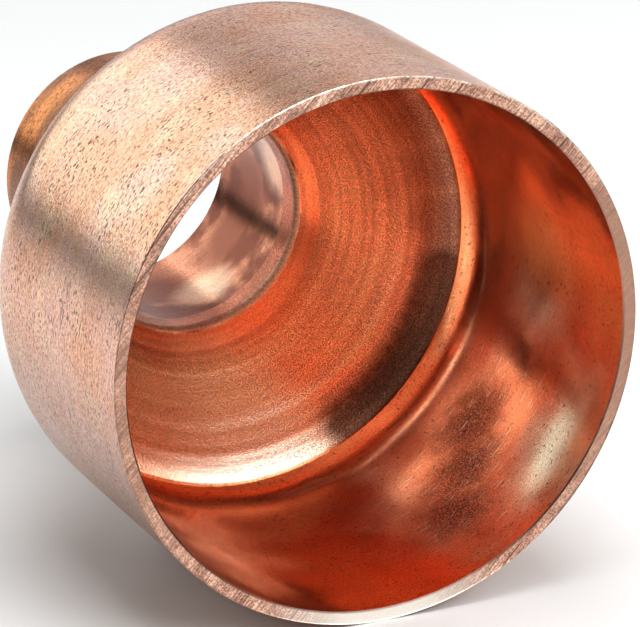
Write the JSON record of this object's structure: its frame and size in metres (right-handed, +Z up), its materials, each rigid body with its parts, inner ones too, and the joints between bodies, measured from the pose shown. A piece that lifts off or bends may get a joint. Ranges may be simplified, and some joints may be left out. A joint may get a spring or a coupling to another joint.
{
  "type": "concentric pipe reducer",
  "caption": "Seamless wrought copper concentric reducer: a wide plain fitting end, a rounded shoulder and cone, and a narrow solder socket.",
  "frame": {"origin": "centre of the wide mouth, on the run axis, in the plane of the mouth's rim", "axes": "+Y along the run axis from the wide mouth towards the narrow socket, +Z up with the fitting lying on its side, +X to the right"},
  "size_m": [0.0794, 0.0967, 0.0794],
  "materials": {
    "copper": "mill-finished wrought copper: satin and finely pitted outside, smoother and redder inside, grainy where drawn down, sawn at the wide mouth"
  },
  "bodies": {
    "root": {"reducer_body": "copper"}
  },
  "joints": []
}
